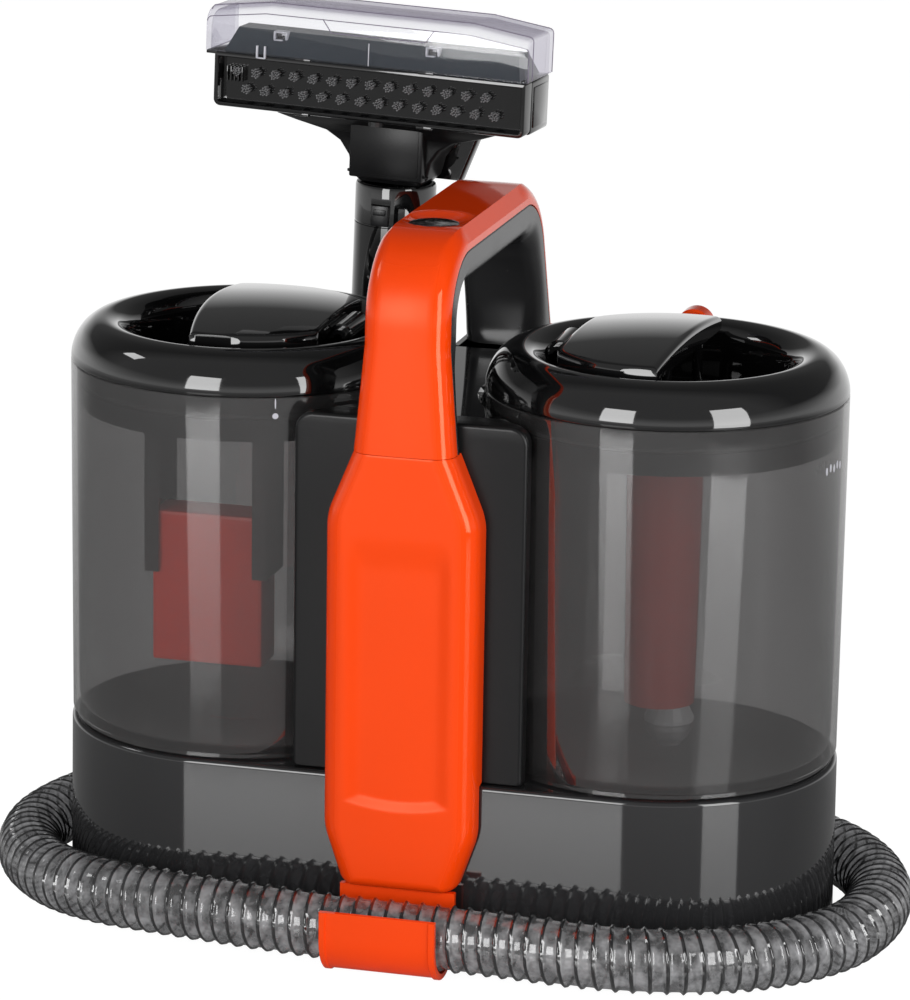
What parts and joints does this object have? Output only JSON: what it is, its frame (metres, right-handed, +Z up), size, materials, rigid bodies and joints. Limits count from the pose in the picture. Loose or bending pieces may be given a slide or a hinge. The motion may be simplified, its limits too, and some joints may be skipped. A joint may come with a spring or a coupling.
{
  "type": "spot extractor",
  "caption": "Portable spot and carpet extractor: two smoked tanks on a low base, an arched carry handle, a docked hand tool with brush head, and a suction hose round the base.",
  "frame": {"origin": "on the floor, at the middle of the footprint of the machine without its free hose", "axes": "+X from the recovery tank to the clean-water tank, +Y to the back where the hand tool is docked, +Z up"},
  "size_m": [0.3989, 0.2302, 0.3728],
  "materials": {
    "orange_gloss": "high-gloss orange moulding",
    "black_gloss": "high-gloss black moulding",
    "dark_grey_gloss": "glossy dark grey moulding",
    "satin_grey": "satin dark grey moulding",
    "smoked_clear": "smoked transparent plastic",
    "clear_plastic": "clear plastic",
    "red_plastic": "red plastic",
    "black_rubber": "soft black rubber",
    "filter_foam": "dark open foam",
    "slate_blue": "slate blue plastic",
    "steel": "bare steel",
    "circuit_board": "green circuit board",
    "hose_grey": "translucent grey corrugated hose"
  },
  "bodies": {
    "base": {"base_shell": "dark_grey_gloss", "bottom_plate": "dark_grey_gloss", "foot_front_left": "black_rubber", "foot_front_right": "black_rubber", "foot_rear_left": "black_rubber", "foot_rear_right": "black_rubber", "tower_housing": "black_gloss", "front_panel": "satin_grey", "front_cover": "orange_gloss", "handle_skin": "orange_gloss", "handle_core": "dark_grey_gloss", "rear_cover": "black_gloss", "power_switch": "black_gloss", "suction_motor": "steel", "fan_housing": "satin_grey", "water_pump": "satin_grey", "pump_inlet_hose": "black_rubber", "pump_outlet_hose": "black_rubber", "valve_socket": "satin_grey", "air_duct": "satin_grey", "dirty_duct": "satin_grey", "exhaust_filter": "filter_foam", "control_board": "circuit_board", "cord_gland": "black_rubber", "hose_clip": "orange_gloss", "tool_dock": "black_gloss", "hose_port": "black_gloss", "suction_hose": "hose_grey"},
    "power_button": {"power_button": "black_gloss"},
    "fan": {"fan_impeller": "steel"},
    "recovery_tank": {"recovery_tank": "smoked_clear"},
    "recovery_lid": {"recovery_lid": "black_gloss", "recovery_lid_seal": "black_rubber", "recovery_grip_pin": "steel", "float_cage": "black_gloss"},
    "recovery_grip": {"recovery_lid_grip": "black_gloss"},
    "float": {"float": "red_plastic"},
    "clean_tank": {"clean_tank": "smoked_clear", "valve_body": "satin_grey"},
    "valve_plunger": {"valve_plunger": "steel", "valve_spring": "steel"},
    "clean_lid": {"clean_lid": "black_gloss", "clean_lid_seal": "black_rubber", "clean_grip_pin": "steel", "filler_neck": "black_gloss", "dosing_tube": "red_plastic"},
    "clean_grip": {"clean_lid_grip": "black_gloss"},
    "lid_latch": {"lid_latch": "orange_gloss"},
    "hand_tool": {"tool_tube": "black_gloss", "tool_neck": "black_gloss", "tool_head": "black_gloss", "brush_plate": "satin_grey", "ramp_plate": "slate_blue", "spray_housing": "black_gloss", "trigger_pin": "steel", "spray_nozzle": "satin_grey", "tool_cuff": "black_gloss"},
    "clear_cover": {"clear_cover": "clear_plastic"},
    "head_latch": {"head_latch": "satin_grey"},
    "spray_trigger": {"spray_trigger": "black_gloss"}
  },
  "joints": [
    {"name": "power_button_press", "type": "slide", "parent": "base", "child": "power_button", "axis": [0, 0, -1], "range_m": [0, 0.0015], "stiffness_N_per_m": 800},
    {"name": "fan_spin", "type": "hinge", "parent": "base", "child": "fan", "pos_m": [0, 0, 0.05], "axis": [0, 0, 1], "continuous": true},
    {"name": "recovery_tank_lift", "type": "slide", "parent": "base", "child": "recovery_tank", "axis": [-0.866, 0, 0.5], "range_m": [0, 0.14]},
    {"name": "recovery_lid_lift", "type": "slide", "parent": "recovery_tank", "child": "recovery_lid", "axis": [0, 0, 1], "range_m": [0, 0.03]},
    {"name": "recovery_grip_hinge", "type": "hinge", "parent": "recovery_lid", "child": "recovery_grip", "pos_m": [-0.0469, 0, 0.2471], "axis": [0, 1, 0], "range_deg": [0, 80]},
    {"name": "float_rise", "type": "slide", "parent": "recovery_lid", "child": "float", "axis": [0, 0, 1], "range_m": [0, 0.035]},
    {"name": "clean_tank_lift", "type": "slide", "parent": "base", "child": "clean_tank", "axis": [0.866, 0, 0.5], "range_m": [0, 0.14]},
    {"name": "valve_lift", "type": "slide", "parent": "clean_tank", "child": "valve_plunger", "axis": [0, 0, 1], "range_m": [0, 0.003], "stiffness_N_per_m": 150, "deforming": ["valve_spring"]},
    {"name": "clean_lid_lift", "type": "slide", "parent": "clean_tank", "child": "clean_lid", "axis": [0, 0, 1], "range_m": [0, 0.03]},
    {"name": "clean_grip_hinge", "type": "hinge", "parent": "clean_lid", "child": "clean_grip", "pos_m": [0.0469, 0, 0.2471], "axis": [0, -1, 0], "range_deg": [0, 80]},
    {"name": "lid_latch_press", "type": "slide", "parent": "clean_lid", "child": "lid_latch", "axis": [0, -1, 0], "range_m": [0, 0.0018], "stiffness_N_per_m": 600},
    {"name": "hand_tool_lift", "type": "slide", "parent": "base", "child": "hand_tool", "axis": [0.0279, 0, 0.9996], "range_m": [0, 0.08]},
    {"name": "clear_cover_pull", "type": "slide", "parent": "hand_tool", "child": "clear_cover", "axis": [0.0279, 0, 0.9996], "range_m": [0, 0.03]},
    {"name": "head_latch_press", "type": "slide", "parent": "hand_tool", "child": "head_latch", "axis": [0, 1, 0], "range_m": [0, 0.0012], "stiffness_N_per_m": 600},
    {"name": "spray_trigger_squeeze", "type": "hinge", "parent": "hand_tool", "child": "spray_trigger", "pos_m": [-0.05326, 0.1132, 0.27994], "axis": [-0.9996, 0, 0.0279], "range_deg": [0, 5], "stiffness_Nm_per_rad": 0.4}
  ]
}
